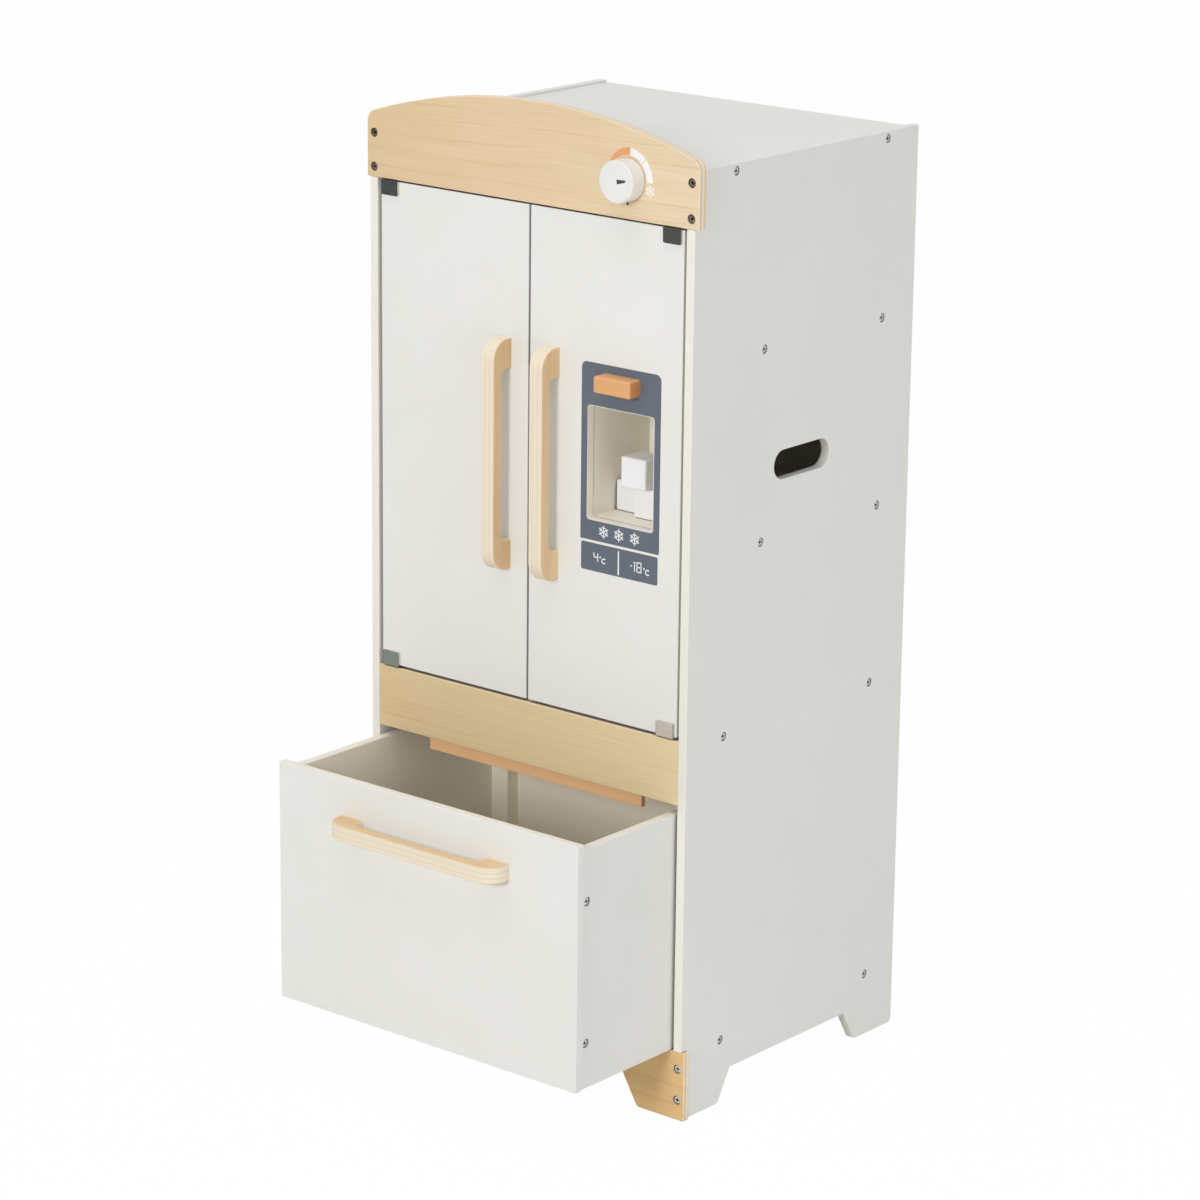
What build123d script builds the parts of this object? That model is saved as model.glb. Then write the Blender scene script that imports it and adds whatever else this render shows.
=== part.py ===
from build123d import *
import os

# Toy refrigerator with two doors over a freezer drawer.
# Millimetres. +X is the viewer's right, +Y the back, +Z up.
# The origin is on the floor, at the middle of the cabinet's footprint.

# Cabinet
width = 400.0
depth = 345.0
side_height = 925.0
board = 9.5
foot_height = 32.5
front_foot = 58.5
back_foot = 63.5
foot_slant = 19.0
foot_corner = 5.0
edge_round = 0.8

# Boards between the sides: heights of their top faces
top_drop = 2.5
upper_shelf_top = 747.75
lower_shelf_top = 560.75
deck_drop = 1.7
bottom_top = 70.2
shelf_room = 2.0
back_thickness = 5.0
back_inset = 2.0

# Hand hole in each side
hand_y = -2.5
hand_z = 626.0
hand_length = 87.0
hand_height = 29.0

# Header, rail and plinth of pale wood
wood_set_back = 0.5
header_thickness = 10.5
header_overhang = 4.0
header_lap = 54.0
header_end_height = 62.0
header_arch = 34.0
header_corner = 12.0
rail_thickness = 10.5
rail_bottom = 318.5
rail_height = 63.4
plinth_thickness = 8.5
plinth_overhang = 3.5
plinth_drop = 0.2
plinth_foot = 57.5

# Doors
door_thickness = 9.0
door_set_back = 1.5
door_side_gap = 3.6
door_top_gap = 1.7
door_bottom_gap = 2.5
split_x = 1.6
split_gap = 2.4

# Door pivots
pivot_inset = 6.0
pin_radius = 2.2
pin_in_door = 12.0
pin_in_bush = 6.5
bush_radius = 3.4
bush_length = 8.0
clip_width = 21.3
clip_height = 15.0
clip_plate = 2.5
clip_lip = 1.2
clip_inset = 2.0
clip_corner = 2.0

# Handles of plywood
handle_width = 16.0
handle_reach = 25.5
handle_bar = 11.3
handle_foot = 29.0
handle_corner = 19.5
handle_slot_corner = 8.0
handle_round = 1.2
handle_screw_inset = 15.0
door_handle_length = 227.0
door_handle_drop = 1.85
door_handle_offset = 30.0
drawer_handle_length = 214.0
drawer_handle_drop = 44.5

# Magnetic catch
catch_depth = 12.0
catch_height = 16.0
catch_width = 44.0
magnet_radius = 4.0
magnet_length = 6.0
magnet_offset = 12.0
strike_width = 18.0
strike_height = 10.0
strike_thickness = 1.2

# Ice dispenser in the right door
dispenser_x = 114.5
window_width = 80.0
window_height = 110.0
window_bottom = 578.6
window_corner = 3.0
recess_depth = 94.0
recess_wall = 5.0
recess_step = 0.8
cube = 30.0
cube_round = 2.0
cube_margin = 1.2
cube_gap = 0.4
left_cube_depth = 41.9
right_cube_depth = 31.0
top_cube_depth = 21.2
top_cube_offset = 23.2

# Dispenser button
button_shift = 1.0
button_rise = 25.2
button_width = 44.3
button_height = 16.2
button_proud = 16.0
button_round = 2.5
button_travel = 6.0
flange_margin = 3.5
flange_thickness = 3.0
housing_wall = 3.0
spring_radius = 6.0
spring_wire = 0.8
spring_pressed = 4.7
spring_turns = 4

# Knob
knob_x = 120.5
knob_rise = 37.0
knob_radius = 20.0
knob_proud = 18.0
knob_round = 1.5
knob_screw_in = 12.0

# Drawer
pull_out = 145.0
drawer_side_gap = 0.5
drawer_bottom_gap = 0.8
drawer_top_gap = 3.0
drawer_front_thickness = 9.0
box_side_gap = 3.0
box_top_drop = 6.5
box_back_gap = 11.0
drawer_floor = 5.0
drawer_floor_rise = 7.5
groove_depth = 4.0
batten_width = 21.5
batten_depth = 16.0
batten_drop = 9.0
drawer_screw_rises = (45.5, 186.5)

# Stop bar behind the rail
stop_x = 3.0
stop_length = 271.0
stop_thickness = 6.0
stop_drop = 16.0
stop_height = 35.5
stop_screw_x = 90.0
stop_screw_drop = 9.0

# Screws and dowels
side_head_radius = 4.2
side_head_height = 2.2
side_head_sink = 1.2
head_gap = 0.4
side_shank_radius = 2.0
side_shank_length = 36.0
small_head_radius = 3.6
small_head_height = 1.9
small_shank_radius = 1.6
back_screw_length = 20.0
handle_screw_length = 22.0
stop_screw_length = 10.0
drawer_screw_length = 24.0
knob_head_radius = 4.0
cross_length = 4.4
cross_width = 1.2
cross_depth = 1.2
dowel_radius = 3.0
dowel_in_side = 6.0
dowel_in_rail = 24.0
dowel_spread = 36.0

# Rows of screws: distance from the board's front edge, and from the cabinet's back
top_insets = (49.5, 49.5)
shelf_insets = (6.0, 51.0)
deck_insets = (46.5, 55.0)
bottom_insets = (52.0, 48.5)
header_screw_rises = (10.0, 43.0)
plinth_screw_heights = (20.2, 52.2)
back_screw_spread = 120.0

# Clearances
seat_gap = 0.3
turn_gap = 0.05
fit_gap = 0.02

# Places that follow from the sizes
outer_x = width / 2
inner_x = outer_x - board
front_y = -depth / 2
back_y = depth / 2
wood_front = front_y + wood_set_back
header_back = wood_front + header_thickness
plinth_back = wood_front + plinth_thickness
rail_back = front_y + rail_thickness
door_front = front_y + door_set_back
door_back = door_front + door_thickness
header_bottom = side_height - header_lap
header_shoulder = header_bottom + header_end_height
header_crest = header_shoulder + header_arch
header_screw_heights = [header_bottom + rise for rise in header_screw_rises]
plinth_height = bottom_top - plinth_drop
rail_top = rail_bottom + rail_height
door_bottom = rail_top + door_bottom_gap
door_top = header_bottom - door_top_gap
door_handle_z = (door_bottom + door_top) / 2 - door_handle_drop
door_outer = inner_x - door_side_gap
pivot_x = door_outer - pivot_inset
pivot_y = (door_front + door_back) / 2
top_z = side_height - top_drop
deck_top = rail_top - deck_drop
back_panel_back = back_y - back_inset
back_panel_front = back_panel_back - back_thickness
window_left = dispenser_x - window_width / 2
window_right = dispenser_x + window_width / 2
window_top = window_bottom + window_height
button_x = dispenser_x + button_shift
button_z = window_top + button_rise
knob_z = header_bottom + knob_rise
recess_back = door_front + recess_depth
shelf_front = recess_back + recess_wall + shelf_room
drawer_width = 2 * (inner_x - drawer_side_gap)
drawer_bottom_z = bottom_top + drawer_bottom_gap
drawer_top_z = rail_bottom - drawer_top_gap
drawer_handle_z = drawer_top_z - drawer_handle_drop
drawer_face = front_y - pull_out
drawer_front_back = drawer_face + drawer_front_thickness
box_width = 2 * (inner_x - box_side_gap)
box_back = back_panel_front - box_back_gap - pull_out
box_inner = box_width / 2 - board
box_length_inside = box_back - board - drawer_front_back
box_middle_y = (drawer_front_back + box_back - board) / 2
box_bottom_z = bottom_top + seat_gap
box_top_z = drawer_top_z - box_top_drop
drawer_floor_z = box_bottom_z + drawer_floor_rise
drawer_screw_heights = [box_bottom_z + rise for rise in drawer_screw_rises]
batten_top_z = box_top_z - batten_drop
stop_bottom = rail_bottom - stop_drop
stop_top = stop_bottom + stop_height
edge_screw_x = outer_x - board / 2
spring_room = button_travel + spring_pressed
housing_back = door_back + seat_gap + flange_thickness + spring_room
catch_front = door_back + strike_thickness + seat_gap


def screw(head_radius, head_height, shank_radius, shank_length):
    """A cross-head screw along Z: the top of its head is at 0 and it points down."""
    with BuildPart() as one:
        with BuildSketch(Plane.XY.offset(-head_height)):
            Circle(head_radius)
        extrude(amount=head_height)
        fillet(one.faces().sort_by(Axis.Z)[-1].edges(), head_height / 4)
        with BuildSketch(Plane.XY.offset(-head_height)):
            Circle(shank_radius)
        extrude(amount=-(shank_length - shank_radius))
        with BuildSketch(Plane.XY.offset(-head_height - shank_length + shank_radius)):
            Circle(shank_radius)
        extrude(amount=-shank_radius, taper=35)
        with BuildSketch():
            Rectangle(cross_length, cross_width)
            Rectangle(cross_width, cross_length)
        extrude(amount=-cross_depth, mode=Mode.SUBTRACT)
    return one.part


def screws(kind, places):
    """Copies of one screw, each with its head's top at a plane that faces outwards."""
    with BuildPart() as group:
        with Locations(*places):
            add(kind)
    return group


def row(front_edge, insets, height):
    """The two screw points (y, z) of one board."""
    return [(front_edge + insets[0], height), (back_y - insets[1], height)]


side_points = (
    row(header_back, top_insets, top_z - board / 2)
    + row(shelf_front, shelf_insets, upper_shelf_top - board / 2)
    + row(shelf_front, shelf_insets, lower_shelf_top - board / 2)
    + row(rail_back, deck_insets, deck_top - board / 2)
    + row(plinth_back, bottom_insets, bottom_top - board / 2)
)
side_screw_reach = side_head_sink + side_head_height + side_shank_length
rail_mid_y = (front_y + rail_back) / 2
rail_mid_z = (rail_bottom + rail_top) / 2
dowel_heights = (rail_mid_z - dowel_spread / 2, rail_mid_z + dowel_spread / 2)


def outward(side, x, y, z):
    """A plane that faces left (side -1) or right (side 1)."""
    return Plane((x, y, z), z_dir=(side, 0, 0))


def forward(x, y, z):
    """A plane that faces the front."""
    return Plane((x, y, z), z_dir=(0, -1, 0))


def backward(x, y, z):
    """A plane that faces the back."""
    return Plane((x, y, z), z_dir=(0, 1, 0))


def edge_screw_places(y, heights):
    """Screw points over the front edges of both sides."""
    return [forward(side * edge_screw_x, y, z) for side in (-1, 1) for z in heights]


# Cabinet


def side_panel(side):
    """A side with its two feet, hand hole and notches for the header and the plinth."""
    with BuildPart() as panel:
        with BuildSketch(Plane.YZ.offset(min(side * outer_x, side * inner_x))) as outline:
            with BuildLine():
                Polyline(
                    (plinth_back, 0),
                    (plinth_back, plinth_height),
                    (front_y, plinth_height),
                    (front_y, header_bottom),
                    (header_back, header_bottom),
                    (header_back, side_height),
                    (back_y, side_height),
                    (back_y, 0),
                    (back_y - back_foot, 0),
                    (back_y - back_foot - foot_slant, foot_height),
                    (front_y + front_foot + foot_slant, foot_height),
                    (front_y + front_foot, 0),
                    close=True,
                )
            make_face()
            floor_corners = outline.vertices().group_by(Axis.Y)[0].sort_by(Axis.X)
            fillet(floor_corners[1:], foot_corner)
        extrude(amount=board)
        fillet(panel.edges(), edge_round)
        with BuildSketch(Plane.YZ.offset(min(side * outer_x, side * inner_x))):
            with Locations((hand_y, hand_z)):
                SlotOverall(hand_length, hand_height)
        extrude(amount=board, mode=Mode.SUBTRACT)
        with Locations(*[outward(side, side * outer_x, y, z) for y, z in side_points]):
            CounterBoreHole(
                side_shank_radius + turn_gap,
                side_head_radius + head_gap,
                side_head_sink + side_head_height,
            )
        with Locations(*[forward(side * edge_screw_x, header_back, z) for z in header_screw_heights]):
            Hole(small_shank_radius + turn_gap, depth=side_screw_reach - header_thickness)
        with Locations(*[forward(side * edge_screw_x, plinth_back, z) for z in plinth_screw_heights]):
            Hole(small_shank_radius + turn_gap, depth=side_screw_reach - plinth_thickness)
        with Locations(*[outward(-side, side * inner_x, rail_mid_y, z) for z in dowel_heights]):
            Hole(dowel_radius + fit_gap, depth=dowel_in_side)
    return panel


def cross_board(front, back, top, insets, back_screws=True):
    """A board between the sides, bored at its ends and back edge for screws."""
    middle = top - board / 2
    with BuildPart() as one:
        with BuildSketch(Plane.XY.offset(top - board)):
            with Locations((0, (front + back) / 2)):
                Rectangle(2 * inner_x, back - front)
        extrude(amount=board)
        for side in (-1, 1):
            with Locations(*[outward(side, side * inner_x, y, z) for y, z in row(front, insets, middle)]):
                Hole(side_shank_radius + turn_gap, depth=side_screw_reach - board)
        if back_screws:
            with Locations(*[backward(x, back, middle) for x in back_screw_xs]):
                Hole(small_shank_radius + turn_gap, depth=back_screw_length)
    return one


back_screw_xs = (-back_screw_spread, 0, back_screw_spread)
back_screw_heights = [top - board / 2 for top in (upper_shelf_top, lower_shelf_top, deck_top)]

left_side_panel = side_panel(-1)
right_side_panel = side_panel(1)
top_panel = cross_board(header_back, back_y, top_z, top_insets, back_screws=False)
upper_shelf = cross_board(shelf_front, back_panel_front, upper_shelf_top, shelf_insets)
lower_shelf = cross_board(shelf_front, back_panel_front, lower_shelf_top, shelf_insets)
middle_deck = cross_board(rail_back, back_panel_front, deck_top, deck_insets)
bottom_panel = cross_board(plinth_back, back_y, bottom_top, bottom_insets, back_screws=False)

with BuildPart() as back_panel:
    with BuildSketch(Plane.XZ.offset(-back_panel_back)):
        with Locations((0, (bottom_top + top_z - board) / 2)):
            Rectangle(2 * inner_x, top_z - board - bottom_top)
    extrude(amount=back_thickness)
    with Locations(*[backward(x, back_panel_back, z) for x in back_screw_xs for z in back_screw_heights]):
        Hole(small_shank_radius + turn_gap)

with BuildPart() as header_panel:
    half = outer_x + header_overhang
    with BuildSketch(Plane.XZ.offset(-header_back)) as arch:
        with BuildLine():
            Polyline(
                (-half, header_shoulder),
                (-half, header_bottom),
                (half, header_bottom),
                (half, header_shoulder),
            )
            ThreePointArc((-half, header_shoulder), (0, header_crest), (half, header_shoulder))
        make_face()
        fillet(arch.vertices().group_by(Axis.Y)[-1], header_corner)
    extrude(amount=header_thickness)
    fillet(header_panel.edges(), edge_round)
    with Locations(*edge_screw_places(wood_front, header_screw_heights)):
        CounterBoreHole(
            small_shank_radius + turn_gap,
            side_head_radius + head_gap,
            side_head_sink + side_head_height,
        )
    with Locations(forward(knob_x, wood_front, knob_z)):
        Hole(side_shank_radius + turn_gap)
    with Locations(*[Plane((side * pivot_x, pivot_y, header_bottom), z_dir=(0, 0, -1)) for side in (-1, 1)]):
        Hole(bush_radius + fit_gap, depth=bush_length)

with BuildPart() as middle_rail:
    with BuildSketch(Plane.XZ.offset(-rail_back)):
        with Locations((0, rail_mid_z)):
            Rectangle(2 * inner_x, rail_top - rail_bottom)
    extrude(amount=rail_thickness)
    fillet(middle_rail.edges(), edge_round)
    with Locations(*[Plane((side * pivot_x, pivot_y, rail_top)) for side in (-1, 1)]):
        Hole(bush_radius + fit_gap, depth=bush_length)
    for side in (-1, 1):
        with Locations(*[outward(side, side * inner_x, rail_mid_y, z) for z in dowel_heights]):
            Hole(dowel_radius + fit_gap, depth=dowel_in_rail)
    with Locations(*[
        backward(stop_x + side * stop_screw_x, rail_back, stop_top - stop_screw_drop) for side in (-1, 1)
    ]):
        Hole(small_shank_radius + turn_gap, depth=stop_screw_length + small_head_height - stop_thickness)

with BuildPart() as plinth_panel:
    half = outer_x + plinth_overhang
    with BuildSketch(Plane.XZ.offset(-plinth_back)) as feet:
        with BuildLine():
            Polyline(
                (-half, 0),
                (-half, plinth_height),
                (half, plinth_height),
                (half, 0),
                (half - plinth_foot, 0),
                (half - plinth_foot - foot_slant, foot_height),
                (plinth_foot + foot_slant - half, foot_height),
                (plinth_foot - half, 0),
                close=True,
            )
        make_face()
        fillet(feet.vertices().group_by(Axis.Y)[0].sort_by(Axis.X)[1:3], foot_corner)
    extrude(amount=plinth_thickness)
    fillet(plinth_panel.edges(), edge_round)
    with Locations(*edge_screw_places(wood_front, plinth_screw_heights)):
        CounterBoreHole(
            small_shank_radius + turn_gap,
            side_head_radius + head_gap,
            side_head_sink + side_head_height,
        )

with BuildPart() as drawer_stop:
    with BuildSketch(Plane.XZ.offset(-rail_back - stop_thickness)):
        with Locations((stop_x, (stop_bottom + stop_top) / 2)):
            Rectangle(stop_length, stop_top - stop_bottom)
    extrude(amount=stop_thickness)
    fillet(drawer_stop.edges(), edge_round)
    with Locations(*[
        backward(stop_x + side * stop_screw_x, rail_back + stop_thickness, stop_top - stop_screw_drop)
        for side in (-1, 1)
    ]):
        CounterBoreHole(small_shank_radius + turn_gap, small_head_radius + turn_gap, small_head_height)

# Fasteners of the cabinet

board_screw = screw(side_head_radius, side_head_height, side_shank_radius, side_shank_length)
edge_screw = screw(side_head_radius, side_head_height, small_shank_radius, side_shank_length)
back_screw = screw(small_head_radius, small_head_height, small_shank_radius, back_screw_length)
stop_screw = screw(small_head_radius, small_head_height, small_shank_radius, stop_screw_length)

side_panel_screws = screws(board_screw, [
    outward(side, side * (outer_x - side_head_sink), y, z) for side in (-1, 1) for y, z in side_points
])
header_screws = screws(edge_screw, edge_screw_places(wood_front + side_head_sink, header_screw_heights))
plinth_screws = screws(edge_screw, edge_screw_places(wood_front + side_head_sink, plinth_screw_heights))
back_panel_screws = screws(back_screw, [
    backward(x, back_panel_back + small_head_height, z) for x in back_screw_xs for z in back_screw_heights
])
drawer_stop_screws = screws(stop_screw, [
    backward(stop_x + side * stop_screw_x, rail_back + stop_thickness, stop_top - stop_screw_drop)
    for side in (-1, 1)
])

with BuildPart() as rail_dowels:
    for side in (-1, 1):
        for z in dowel_heights:
            with BuildSketch(outward(side, side * (inner_x - dowel_in_rail), rail_mid_y, z)):
                Circle(dowel_radius)
            extrude(amount=dowel_in_rail + dowel_in_side)

with BuildPart() as pivot_bushes:
    for bush_base in (header_bottom, rail_top - bush_length):
        with BuildSketch(Plane.XY.offset(bush_base)):
            with Locations((-pivot_x, pivot_y), (pivot_x, pivot_y)):
                Circle(bush_radius)
                Circle(pin_radius + turn_gap, mode=Mode.SUBTRACT)
        extrude(amount=bush_length)

with BuildPart() as magnet_block:
    with BuildSketch(Plane.XY.offset(deck_top)):
        with Locations((split_x, catch_front + catch_depth / 2)):
            Rectangle(catch_width, catch_depth)
    extrude(amount=catch_height)
    with Locations(*[
        forward(split_x + side * magnet_offset, catch_front, deck_top + catch_height / 2) for side in (-1, 1)
    ]):
        Hole(magnet_radius + fit_gap, depth=magnet_length)

with BuildPart() as catch_magnets:
    for side in (-1, 1):
        magnet_x = split_x + side * magnet_offset
        with BuildSketch(forward(magnet_x, catch_front + magnet_length, deck_top + catch_height / 2)):
            Circle(magnet_radius)
        extrude(amount=magnet_length)

# Handles


def pull_handle(length, base, thickness):
    """A D-shaped pull on a board of this thickness: x of the base plane runs along it, y outwards."""
    with BuildPart() as one:
        with BuildSketch(base) as profile:
            with Locations((0, handle_reach / 2)):
                Rectangle(length, handle_reach)
            fillet(profile.vertices().group_by(Axis.Y)[-1], handle_corner)
            with Locations((0, (handle_reach - handle_bar) / 2)):
                Rectangle(length - 2 * handle_foot, handle_reach - handle_bar, mode=Mode.SUBTRACT)
            slot_corners = profile.vertices().filter_by_position(
                Axis.Y, handle_reach - handle_bar - edge_round, handle_reach - handle_bar + edge_round
            )
            fillet(slot_corners, handle_slot_corner)
        extrude(amount=handle_width / 2, both=True)
        flat_sides = one.faces().filter_by(Axis(base.origin, base.z_dir))
        fillet([edge for edge in flat_sides.edges() if reach_of(edge, base) > edge_round], handle_round)
        with Locations(*handle_screw_places(length, base, 0)):
            Hole(small_shank_radius + turn_gap, depth=handle_screw_length - thickness)
    return one


def reach_of(edge, base):
    """How far the middle of an edge stands out from the face that the handle is fixed to."""
    return (edge.center() - base.origin).dot(base.y_dir)


def handle_screw_places(length, base, thickness):
    """Where a handle's two screws come through the back of a board of this thickness."""
    screw_x = length / 2 - handle_screw_inset
    return [
        Plane(base.from_local_coords((x, -thickness, 0)), z_dir=-base.y_dir) for x in (-screw_x, screw_x)
    ]


def door_handle_base(side):
    """The handle's plane on a door's front, with its length upright."""
    handle_x = split_x + side * door_handle_offset
    return Plane((handle_x, door_front, door_handle_z), x_dir=(0, 0, 1), z_dir=(1, 0, 0))


drawer_handle_base = Plane((0, drawer_face, drawer_handle_z), x_dir=(1, 0, 0), z_dir=(0, 0, -1))
handle_screw = screw(small_head_radius, small_head_height, small_shank_radius, handle_screw_length)

left_door_handle = pull_handle(door_handle_length, door_handle_base(-1), door_thickness)
right_door_handle = pull_handle(door_handle_length, door_handle_base(1), door_thickness)
drawer_handle = pull_handle(drawer_handle_length, drawer_handle_base, drawer_front_thickness)
left_handle_screws = screws(
    handle_screw,
    handle_screw_places(door_handle_length, door_handle_base(-1), door_thickness + small_head_height),
)
right_handle_screws = screws(
    handle_screw,
    handle_screw_places(door_handle_length, door_handle_base(1), door_thickness + small_head_height),
)
drawer_handle_screws = screws(
    handle_screw,
    handle_screw_places(
        drawer_handle_length, drawer_handle_base, drawer_front_thickness + small_head_height
    ),
)

# Doors


def door_board(side):
    """A plain door, bored for its pivots and for its handle's screws."""
    inner_edge = split_x + side * split_gap / 2
    outer_edge = side * door_outer
    with BuildPart() as door:
        with BuildSketch(Plane.XZ.offset(-door_back)):
            with Locations(((inner_edge + outer_edge) / 2, (door_bottom + door_top) / 2)):
                Rectangle(abs(outer_edge - inner_edge), door_top - door_bottom)
        extrude(amount=door_thickness)
        fillet(door.edges(), edge_round)
        with Locations(
            Plane((side * pivot_x, pivot_y, door_top)),
            Plane((side * pivot_x, pivot_y, door_bottom), z_dir=(0, 0, -1)),
        ):
            Hole(pin_radius + fit_gap, depth=pin_in_door)
        with Locations(*handle_screw_places(door_handle_length, door_handle_base(side), door_thickness)):
            Hole(small_shank_radius + turn_gap)
    return door


def corner_clips(side):
    """Two metal clips that grip a door's outer corners and carry its pivot pins."""
    clip_x = side * (door_outer - clip_inset - clip_width / 2)
    with BuildPart() as clips:
        for lip_edge, inward in ((door_top + clip_lip, -1), (door_bottom - clip_lip, 1)):
            with BuildSketch(Plane.XZ.offset(-door_back - clip_plate)) as plate:
                with Locations((clip_x, lip_edge + inward * clip_height / 2)):
                    Rectangle(clip_width, clip_height)
                free_corners = plate.vertices().group_by(Axis.Y)[0 if inward < 0 else -1]
                fillet(free_corners, clip_corner)
            extrude(amount=door_thickness + 2 * clip_plate)
        with BuildSketch(Plane.XZ.offset(-door_back)):
            with Locations((clip_x, (door_bottom + door_top) / 2)):
                Rectangle(2 * clip_width, door_top - door_bottom)
        extrude(amount=door_thickness, mode=Mode.SUBTRACT)
        with Locations(Plane((side * pivot_x, pivot_y, door_top + clip_lip))):
            Hole(pin_radius + fit_gap)
    return clips


def pivot_pins(side):
    """Two pins on one upright line, from the door's edges into the bushes."""
    with BuildPart() as pins:
        with BuildSketch(Plane.XY.offset(door_top - pin_in_door)):
            with Locations((side * pivot_x, pivot_y)):
                Circle(pin_radius)
        extrude(amount=pin_in_door + door_top_gap + pin_in_bush)
        with BuildSketch(Plane.XY.offset(door_bottom + pin_in_door)):
            with Locations((side * pivot_x, pivot_y)):
                Circle(pin_radius)
        extrude(amount=-(pin_in_door + door_bottom_gap + pin_in_bush))
    return pins


def strike_plate(side):
    """A thin steel plate on a door's back that the magnet holds."""
    with BuildPart() as plate:
        with BuildSketch(Plane.XZ.offset(-door_back - strike_thickness)):
            with Locations((split_x + side * magnet_offset, deck_top + catch_height - strike_height / 2)):
                Rectangle(strike_width, strike_height)
        extrude(amount=strike_thickness)
    return plate


left_door = door_board(-1)
left_corner_clips = corner_clips(-1)
left_pivot_pins = pivot_pins(-1)
left_strike_plate = strike_plate(-1)
right_corner_clips = corner_clips(1)
right_pivot_pins = pivot_pins(1)
right_strike_plate = strike_plate(1)

plain_right_door = door_board(1)
with BuildPart() as right_door:
    add(plain_right_door.part)
    with BuildSketch(Plane.XZ.offset(-door_back)):
        with Locations((dispenser_x, window_bottom + window_height / 2)):
            RectangleRounded(window_width, window_height, window_corner)
        with Locations((button_x, button_z)):
            RectangleRounded(button_width + 2 * seat_gap, button_height + 2 * seat_gap, button_round)
    extrude(amount=door_thickness, mode=Mode.SUBTRACT)

# Dispenser box behind the window


def recess_board(left, right, bottom, top, back, thickness):
    """One flat board of the box, from its back face forwards."""
    with BuildPart() as one:
        with BuildSketch(Plane.XZ.offset(-back)):
            with Locations(((left + right) / 2, (bottom + top) / 2)):
                Rectangle(right - left, top - bottom)
        extrude(amount=thickness)
    return one


recess_left = window_left - recess_step
recess_right = window_right + recess_step
recess_top = window_top + recess_step
box_left = recess_left - recess_wall
box_right = recess_right + recess_wall
box_length = recess_back - door_back
dispenser_floor = recess_board(
    box_left, box_right, window_bottom - recess_wall, window_bottom, recess_back, box_length
)
dispenser_roof = recess_board(
    box_left, box_right, recess_top, recess_top + recess_wall, recess_back, box_length
)
dispenser_left_wall = recess_board(
    box_left, recess_left, window_bottom, recess_top, recess_back, box_length
)
dispenser_right_wall = recess_board(
    recess_right, box_right, window_bottom, recess_top, recess_back, box_length
)
dispenser_back = recess_board(
    box_left,
    box_right,
    window_bottom - recess_wall,
    recess_top + recess_wall,
    recess_back + recess_wall,
    recess_wall,
)

# Ice cubes


def ice_cube(left, front, bottom):
    """A wooden cube with softened edges."""
    with BuildPart() as one:
        with BuildSketch(Plane((left + cube / 2, front + cube / 2, bottom))):
            Rectangle(cube, cube)
        extrude(amount=cube)
        fillet(one.edges(), cube_round)
    return one


cube_floor = window_bottom + seat_gap
ice_cube_left = ice_cube(window_left + cube_margin, door_front + left_cube_depth, cube_floor)
ice_cube_right = ice_cube(
    window_left + cube_margin + cube + cube_gap, door_front + right_cube_depth, cube_floor
)
ice_cube_top = ice_cube(
    window_left + top_cube_offset, door_front + top_cube_depth, cube_floor + cube + seat_gap
)

# Dispenser button

with BuildPart() as dispenser_button:
    with BuildSketch(Plane.XZ.offset(-door_back - seat_gap)):
        with Locations((button_x, button_z)):
            RectangleRounded(button_width, button_height, button_round)
    extrude(amount=door_thickness + seat_gap + button_proud)
    fillet(dispenser_button.faces().sort_by(Axis.Y)[0].edges(), button_round)
    with BuildSketch(Plane.XZ.offset(-door_back - seat_gap - flange_thickness)):
        with Locations((button_x, button_z)):
            Rectangle(button_width + 2 * flange_margin, button_height + 2 * flange_margin)
    extrude(amount=flange_thickness)

with BuildPart() as button_housing:
    inner_width = button_width + 2 * flange_margin + 2 * seat_gap
    inner_height = button_height + 2 * flange_margin + 2 * seat_gap
    with BuildSketch(Plane.XZ.offset(-housing_back - housing_wall)):
        with Locations((button_x, button_z)):
            Rectangle(inner_width + 2 * housing_wall, inner_height + 2 * housing_wall)
    extrude(amount=housing_back + housing_wall - door_back)
    with BuildSketch(Plane.XZ.offset(-housing_back)):
        with Locations((button_x, button_z)):
            Rectangle(inner_width, inner_height)
    extrude(amount=housing_back - door_back, mode=Mode.SUBTRACT)

with BuildPart() as button_spring:
    coil_length = spring_room - 2 * spring_wire
    coil_start = door_back + seat_gap + flange_thickness + spring_wire
    with BuildLine() as coil:
        Helix(
            coil_length / spring_turns,
            coil_length,
            spring_radius,
            center=(button_x, coil_start, button_z),
            direction=(0, 1, 0),
        )
    with BuildSketch(Plane(coil.line @ 0, z_dir=coil.line % 0)):
        Circle(spring_wire / 2)
    sweep(path=coil.line, is_frenet=True)

# Knob

with BuildPart() as knob:
    with BuildSketch(Plane.XZ.offset(-wood_front + seat_gap)):
        with Locations((knob_x, knob_z)):
            Circle(knob_radius)
    extrude(amount=knob_proud - seat_gap)
    fillet(knob.faces().sort_by(Axis.Y)[0].edges(), knob_round)
    with Locations(backward(knob_x, wood_front - seat_gap, knob_z)):
        Hole(side_shank_radius + fit_gap, depth=knob_screw_in)

knob_screw = screws(
    screw(
        knob_head_radius,
        side_head_height,
        side_shank_radius,
        seat_gap + header_thickness + seat_gap + knob_screw_in,
    ),
    [backward(knob_x, header_back + seat_gap + side_head_height, knob_z)],
)

# Drawer, as it stands when pulled out

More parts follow.
